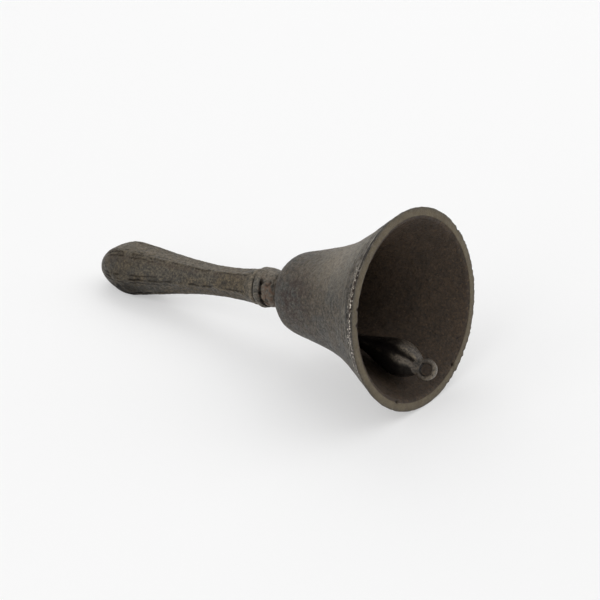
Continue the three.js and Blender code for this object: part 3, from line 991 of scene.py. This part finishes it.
CLAPPER_DROP = math.radians(21.5)
CLAPPER_YAW = math.radians(9.5)
CLAPPER_LENGTH = 43.0
TAIL_RING, TAIL_WIRE = 3.4, 1.4
NOSE_RADIUS, NOSE_HOLE, NOSE_HALF_THICK = 4.4, 2.3, 2.1
level = math.cos(CLAPPER_DROP)
clapper_line = np.array(
    [level * math.cos(CLAPPER_YAW), level * math.sin(CLAPPER_YAW), -math.sin(CLAPPER_DROP)]
)
tail_centre = clapper_pivot + clapper_line * (TAIL_RING - TAIL_WIRE - HOOK_WIRE - PIECE_GAP)
# The clapper's own axes in the bell's: along it, the way the free eye's hole looks, and the third.
clapper_axes = np.array(axes_from(clapper_line, (0, -0.83, 0.56)))
clapper_in_row = Matrix((np.array(bell_axes) @ clapper_axes).tolist())
tail_in_row = Vector(to_row_frame([tail_centre])[0])


def seam_angle(along):
    """Where the seam between the strands runs, round the clapper's line from the free eye's hole."""
    return -0.35 + 0.25 * smoothstep(37, 41, along)


def clapper_body():
    """Two strands of bar lying against each other, swelling to a pear, as rings about the clapper's
    line. The strands meet in a seam that faces the way the free eye's hole looks."""
    stem = [(3.6, 2.1), (8, 2.3), (13, 2.7), (19, 4.2)]
    pear = [(24, 6.3), (29.5, 7.7), (34.5, 7.2), (38.5, 4.9), (40, 3.3), (40.7, 2.2)]
    rings = evenly(spline(stem + pear, 14), 0.3)
    sides = 150
    turn = np.linspace(0, 2 * math.pi, sides, endpoint=False)
    points = []
    for x, radius in rings:
        seam_width = 0.12 + 0.30 / radius
        seam_deep = 0.13 + 0.12 * smoothstep(24, 38, x)
        front = angle_gap(turn, seam_angle(x))
        back = angle_gap(turn, math.pi)
        groove = np.exp(-((front / seam_width) ** 2)) + np.exp(-((back / seam_width) ** 2))
        overlap = 0.06 * np.exp(-(((front + 0.32) / 0.20) ** 2))
        flatten = 1 - 0.06 * np.abs(np.sin(turn)) ** 3
        r = radius * (1 - seam_deep * groove + overlap) * flatten
        points += [(x, r[k] * math.cos(turn[k]), r[k] * math.sin(turn[k])) for k in range(sides)]
    n = len(rings)
    faces = ring_faces(n, sides, False)
    faces.append(tuple(reversed(range(sides))))
    faces.append(tuple((n - 1) * sides + k for k in range(sides)))
    return np.array(points), faces


def clapper_nose():
    """The thick eye at the free end: a flattened ring with a hole along the clapper's second axis."""
    middle = (NOSE_RADIUS + NOSE_HOLE) / 2
    half = (NOSE_RADIUS - NOSE_HOLE) / 2
    rounds, sides = 96, 28
    points = []
    for i in range(rounds):
        turn = 2 * math.pi * i / rounds
        for k in range(sides):
            round_wire = 2 * math.pi * k / sides
            c, s = math.cos(round_wire), math.sin(round_wire)
            reach_out = middle + half * math.copysign(abs(c) ** 0.8, c)
            thick = NOSE_HALF_THICK * math.copysign(abs(s) ** 0.8, s)
            x = CLAPPER_LENGTH + reach_out * math.cos(turn)
            points.append((x, thick, reach_out * math.sin(turn)))
    return np.array(points), ring_faces(rounds, sides, True)


def clapper():
    """The body, its free eye and its hung eye, fused into one casting."""
    tail_hole = clapper_axis - clapper_line * clapper_axis.dot(clapper_line)
    tail_ring = circle((0, 0, 0), tail_hole @ clapper_axes, TAIL_RING, 90)
    tail = swept(tail_ring, [TAIL_WIRE] * len(tail_ring), 24, closed=True)
    points, normals, faces = fused([clapper_body(), clapper_nose(), tail], 0.24, 8)
    along = points[:, 0]
    turn = np.arctan2(points[:, 2], points[:, 1])
    nose_reach = np.hypot(points[:, 0] - CLAPPER_LENGTH, points[:, 2])
    away = nose_reach > NOSE_RADIUS + 0.5
    front = angle_gap(turn, seam_angle(along))
    seam = np.exp(-((front / 0.17) ** 2)) * away * smoothstep(6, 16, along)
    ridge = np.exp(-(((front + 0.24) / 0.10) ** 2)) * away * smoothstep(29, 35, along)
    # Painted highlight along the lower strand near the free eye.
    lower_highlight = np.exp(-(((front - 0.34) / 0.18) ** 2)) * away * bump_at(along, 34.5, 3.5)
    lumps = grain(points, 3.0, 3, 61)
    fine = grain(points, 1.1, 3, 62)
    points = points + normals * (-0.08 + 0.07 * lumps + 0.03 * fine)[:, None]
    rim_worn = smoothstep(2.9, 3.9, nose_reach)
    rim_worn = rim_worn * smoothstep(CLAPPER_LENGTH - 1, CLAPPER_LENGTH + 3, along)
    # Painted shade: the clapper's lower side is darkened.
    shaded_underside = smoothstep(0.40, 0.72, front) * away
    # Painted shade: the clapper's rear, deep in the cup, is darkened.
    shaded_rear = smoothstep(35, 28, along) * (0.80 + 0.20 * smoothstep(-0.4, 0.4, lumps))
    # Painted shade inside the free eye's hole.
    hole = smoothstep(2.9, 2.5, nose_reach) * smoothstep(1.9, 1.4, np.abs(points[:, 1]))
    attributes = {
        "wear_and_highlight": np.clip(0.8 * ridge + 0.6 * lower_highlight + 0.6 * rim_worn, 0, 1),
        "dirt_and_shade": np.clip(0.95 * seam + shaded_rear + 0.8 * hole + 0.9 * shaded_underside, 0, 1),
    }
    in_bell = tail_centre + points @ clapper_axes.T
    mesh = mesh_of("clapper_bar", to_row_frame(in_bell), faces, attributes)
    codes = ("463e34", "3b3732", "171411", "76695a")
    place = (clapper_in_row, tail_in_row)
    material = iron_material("clapper_iron", codes, roughness=(0.30, 0.52), place=place)
    add_piece("clapper_bar", mesh, material, "clapper", "clapper")


# ---- Floor, light and camera ----


def floor():
    """A plain pale sheet, far larger than the view, lit faintly from below as a light table is."""
    half = 3.0
    corners = [(-half, -half, 0), (half, -half, 0), (half, half, 0), (-half, half, 0)]
    mesh = bpy.data.meshes.new("floor")
    mesh.from_pydata(corners, [], [(0, 1, 2, 3)])
    sheet = bpy.data.objects.new("floor", mesh)
    bpy.context.scene.collection.objects.link(sheet)
    s = Shader("floor_paper", Matrix.Identity(3), (0, 0, 0))
    glow, paper = 0.386, (0.53, 0.53, 0.53, 1)
    s.bump([(s.noise(1.5, 3, 0.6), 0.01)])
    s.surface.inputs["Emission Color"].default_value = (1, 1, 1, 1)
    s.surface.inputs["Emission Strength"].default_value = glow
    mesh.materials.append(s.finish(paper, 0.85, specular=0.2))


def area_light(name, place, power):
    """A wide soft lamp that faces the bell."""
    light = bpy.data.lights.new(name, "AREA")
    light.shape = "RECTANGLE"
    light.size = light.size_y = 1.3
    light.energy = power
    lamp = bpy.data.objects.new(name, light)
    lamp.location = place
    lamp.rotation_euler = (-place).to_track_quat("-Z", "Y").to_euler()
    bpy.context.scene.collection.objects.link(lamp)


HORIZON_LIGHT, OVERHEAD_LIGHT = 0.39, 0.69
CAMERA_ROLL = 0.2
# The camera looks along "ahead" over the floor, and "right" is on its right hand.
CAMERA_TURN = math.radians(37.14)
right = Vector((math.cos(CAMERA_TURN), math.sin(CAMERA_TURN), 0))
ahead = Vector((-math.sin(CAMERA_TURN), math.cos(CAMERA_TURN), 0))


def light():
    """A sky brighter overhead than at the horizon, and three wide soft lamps."""
    world = bpy.data.worlds.new("studio")
    world.use_nodes = True
    nodes, links = world.node_tree.nodes, world.node_tree.links
    direction = nodes.new("ShaderNodeTexCoord").outputs["Generated"]
    split = nodes.new("ShaderNodeSeparateXYZ")
    links.new(direction, split.inputs[0])
    brightness = nodes.new("ShaderNodeMapRange")
    brightness.inputs["To Min"].default_value = HORIZON_LIGHT
    brightness.inputs["To Max"].default_value = OVERHEAD_LIGHT
    links.new(split.outputs["Z"], brightness.inputs["Value"])
    links.new(brightness.outputs["Result"], nodes["Background"].inputs["Strength"])
    nodes["Background"].inputs["Color"].default_value = (1, 1, 1, 1)
    bpy.context.scene.world = world
    area_light("front", UP - 0.9 * right - 0.9 * ahead, 9.2)
    area_light("back", 1.1 * UP + 1.1 * ahead, 6.7)
    area_light("side", UP + 1.1 * right + 0.2 * ahead, 4.7)
    scene = bpy.context.scene
    scene.view_settings.view_transform = "Standard"
    scene.view_settings.look = "None"


def camera():
    """Looks down at the bell from its mouth's side, with a long lens."""
    pitch = math.radians(29.36)
    mouth_right, mouth_ahead, mouth_below = 0.0443, 1.0794, 0.6113
    place = mouth_centre - right * mouth_right - ahead * mouth_ahead + UP * mouth_below
    data = bpy.data.cameras.new("camera")
    data.sensor_width = 36
    data.lens = 193.2
    data.clip_start, data.clip_end = 0.05, 20
    eye = bpy.data.objects.new("camera", data)
    look = ahead * math.cos(pitch) - UP * math.sin(pitch)
    eye.location = place
    roll = Quaternion((0, 0, 1), math.radians(CAMERA_ROLL))
    eye.rotation_euler = (look.to_track_quat("-Z", "Y") @ roll).to_euler()
    bpy.context.scene.collection.objects.link(eye)
    bpy.context.scene.camera = eye


bell_shell()
neck_collar()
handle()
staple_bolt()
crown_washer()
crown_nut()
s_hook()
clapper()
floor()
light()
camera()
